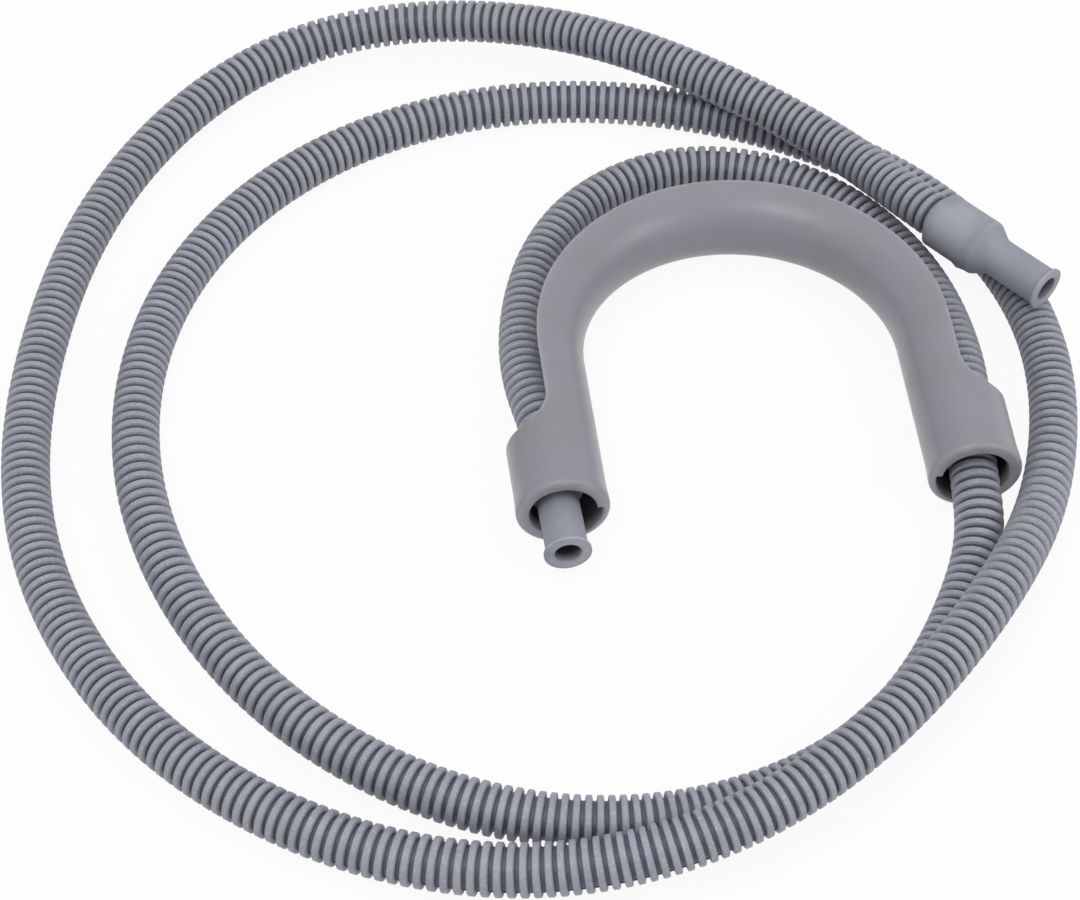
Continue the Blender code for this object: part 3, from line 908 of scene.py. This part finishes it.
crook_material, shader = new_material("injection_moulded_polypropylene")
place = add_node(crook_material, "ShaderNodeTexCoord", {}).outputs["Object"]
rub_and_highlight_here = add_node(crook_material, "ShaderNodeAttribute", {},
                    attribute_name="rub_and_highlight").outputs["Fac"]
inner_shade_here = add_node(crook_material, "ShaderNodeAttribute", {},
                      attribute_name="inner").outputs["Fac"]
streak = add_node(crook_material, "ShaderNodeTexNoise", {
    "Vector": place, "Scale": scale_for(CROOK_STREAK_MM), "Detail": 2.0,
    "Distortion": 0.4}).outputs["Fac"]
mottle = add_node(crook_material, "ShaderNodeTexNoise", {
    "Vector": place, "Scale": scale_for(CROOK_MOTTLE_MM), "Detail": 4.0}).outputs["Fac"]
skin = add_node(crook_material, "ShaderNodeTexNoise", {
    "Vector": place, "Scale": scale_for(CROOK_SKIN_MM), "Detail": 1.0}).outputs["Fac"]
print("crook noises", CROOK_STREAK_MM, CROOK_MOTTLE_MM, CROOK_SKIN_MM, "mm wide")

# %% [markdown]
# The coats are the streaky grey, the patchy rub and painted highlight on the edges, and the
# painted shade inside the collars. The mottle varies the gloss a little, as hands do, and the skin
# is only just deep enough to break up a highlight.

# %% Crook colour and finish
CROOK_GREY = linear("#878691")
CROOK_GREY_STREAK = linear("#828287")
# Edges: partly wear, partly a painted highlight. Inside the collars: painted shade.
CROOK_GREY_RUB_AND_HIGHLIGHT = linear("#A6A6AB")
CROOK_GREY_INNER_SHADE = linear("#36363A")
CROOK_STREAK_FROM, CROOK_STREAK_TO = 0.35, 0.65
CROOK_ROUGHNESS = (0.3, 0.4)
CROOK_SKIN_DEPTH = 0.000015
CROOK_IOR = 1.49
CROOK_SHEEN, CROOK_SHEEN_ROUGHNESS = 0.3, 0.4

spread = add_node(crook_material, "ShaderNodeMapRange", {
    "Value": streak, "From Min": CROOK_STREAK_FROM, "From Max": CROOK_STREAK_TO}).outputs["Result"]
streaky = add_node(crook_material, "ShaderNodeMix", {
    MIX_FACTOR: spread, MIX_A: CROOK_GREY_STREAK, MIX_B: CROOK_GREY},
    data_type="RGBA").outputs[MIX_RESULT]
patchy_rub_and_highlight = add_node(crook_material, "ShaderNodeMath", {0: rub_and_highlight_here, 1: mottle},
                      operation="MULTIPLY").outputs[0]
# Partly wear and partly a painted highlight on the cut edges and mouth rims.
rubbed_and_highlit = add_node(crook_material, "ShaderNodeMix", {
    MIX_FACTOR: patchy_rub_and_highlight, MIX_A: streaky, MIX_B: CROOK_GREY_RUB_AND_HIGHLIGHT},
    data_type="RGBA").outputs[MIX_RESULT]
# Painted shade inside the collars.
inner_shaded = add_node(crook_material, "ShaderNodeMix", {
    MIX_FACTOR: inner_shade_here, MIX_A: rubbed_and_highlit, MIX_B: CROOK_GREY_INNER_SHADE},
    data_type="RGBA").outputs[MIX_RESULT]
satin = add_node(crook_material, "ShaderNodeMapRange", {
    "Value": mottle, "From Min": WIDE_FROM, "From Max": WIDE_TO,
    "To Min": CROOK_ROUGHNESS[0], "To Max": CROOK_ROUGHNESS[1]}).outputs["Result"]
fine_skin = add_node(crook_material, "ShaderNodeBump", {
    "Height": skin, "Distance": CROOK_SKIN_DEPTH}).outputs["Normal"]
connect(crook_material, shader, {
    "Base Color": inner_shaded, "Roughness": satin, "Normal": fine_skin, "IOR": CROOK_IOR,
    "Sheen Weight": CROOK_SHEEN, "Sheen Roughness": CROOK_SHEEN_ROUGHNESS})
crook.data.materials.append(crook_material)
print(crook_material.name, "nodes", len(crook_material.node_tree.nodes))

# %% [markdown]
# ## Floor
#
# The picture has a white ground. The floor is a big sheet of white paper. Lit by the lamps alone it
# would come out pale grey, and stronger lamps would bleach the plastics. So what the camera and the
# reflections see of it is lifted towards white, apart from a share that keeps the hose's shadow.

# %% Floor
FLOOR_HALF = 2.5
FLOOR_WHITE = linear("#E4E4E4")
FLOOR_LIFT = 0.92
FLOOR_ROUGHNESS = 0.9
PURE_WHITE = linear("#FFFFFF")

floor_mesh = bpy.data.meshes.new("floor")
floor_signs = ((-1, -1), (1, -1), (1, 1), (-1, 1))
floor_corners = [(x * FLOOR_HALF, y * FLOOR_HALF, 0.0) for x, y in floor_signs]
floor_mesh.from_pydata(floor_corners, [], [(0, 1, 2, 3)])
floor = bpy.data.objects.new("floor", floor_mesh)
bpy.context.scene.collection.objects.link(floor)


def seen_directly(owner):
    """1 for a ray from the camera or a glossy or clear surface, and 0 for one that lights."""
    rays = add_node(owner, "ShaderNodeLightPath", {}).outputs
    seen = rays["Is Camera Ray"]
    for kind in ("Is Glossy Ray", "Is Transmission Ray"):
        seen = add_node(owner, "ShaderNodeMath", {0: seen, 1: rays[kind]},
                        operation="ADD", use_clamp=True).outputs[0]
    return seen


floor_material, shader = new_material("white_paper_floor")
connect(floor_material, shader, {"Base Color": FLOOR_WHITE, "Roughness": FLOOR_ROUGHNESS})
lift = add_node(floor_material, "ShaderNodeMath", {
    0: seen_directly(floor_material), 1: FLOOR_LIFT}, operation="MULTIPLY").outputs[0]
white = add_node(floor_material, "ShaderNodeEmission", {
    "Color": PURE_WHITE, "Strength": 1.0}).outputs["Emission"]
lifted = add_node(floor_material, "ShaderNodeMixShader", {
    0: lift, 1: shader.outputs["BSDF"], 2: white}).outputs["Shader"]
connect(floor_material, floor_material.node_tree.nodes["Material Output"], {"Surface": lifted})
floor.data.materials.append(floor_material)
print(floor_material.name, "nodes", len(floor_material.node_tree.nodes))

# %% [markdown]
# ## World and lamps
#
# The light is even and soft from all sides, as in a light tent, with more from the front on the
# left, from the right and from above. A plain white world gives the tent, which the camera sees as
# pure white. Three big square lamps add the rest. The two in front each leave a soft streak on the
# crown of the crook, and the one above lights the tops of the ribs.

# %% World and lamps
WORLD_STRENGTH = 0.62
# Each lamp's name, its place and the point that it aims at in metres, its size in metres, and its
# power in watts.
SOFTBOXES = (
    ("key", (-0.34, -0.47, 1.22), (0.0, 0.0, 0.0), 0.6, 5.0),
    ("right", (0.93, -0.47, 0.85), (0.0, 0.0, 0.0), 0.6, 3.5),
    ("top", (-0.1, 0.3, 1.5), (-0.06, 0.0, 0.0), 1.2, 3.0),
)


def add_softbox(name, place, aim, size, power):
    """Square area lamp at a place, turned towards the point that it aims at."""
    lamp = bpy.data.lights.new(name, "AREA")
    lamp.size = size
    lamp.energy = power
    softbox = bpy.data.objects.new(name, lamp)
    softbox.location = place
    softbox.rotation_mode = "QUATERNION"
    softbox.rotation_quaternion = (Vector(aim) - Vector(place)).to_track_quat("-Z", "Y")
    bpy.context.scene.collection.objects.link(softbox)


world = bpy.data.worlds.new("light_tent")
world.use_nodes = True
bpy.context.scene.world = world
brightness = add_node(world, "ShaderNodeMapRange", {
    "Value": seen_directly(world), "To Min": WORLD_STRENGTH, "To Max": 1.0}).outputs["Result"]
connect(world, world.node_tree.nodes["Background"], {"Color": PURE_WHITE, "Strength": brightness})
for softbox_values in SOFTBOXES:
    add_softbox(*softbox_values)
bpy.context.scene.view_settings.view_transform = "Standard"
print(world.name, "strength", WORLD_STRENGTH, "lamps", len(SOFTBOXES))
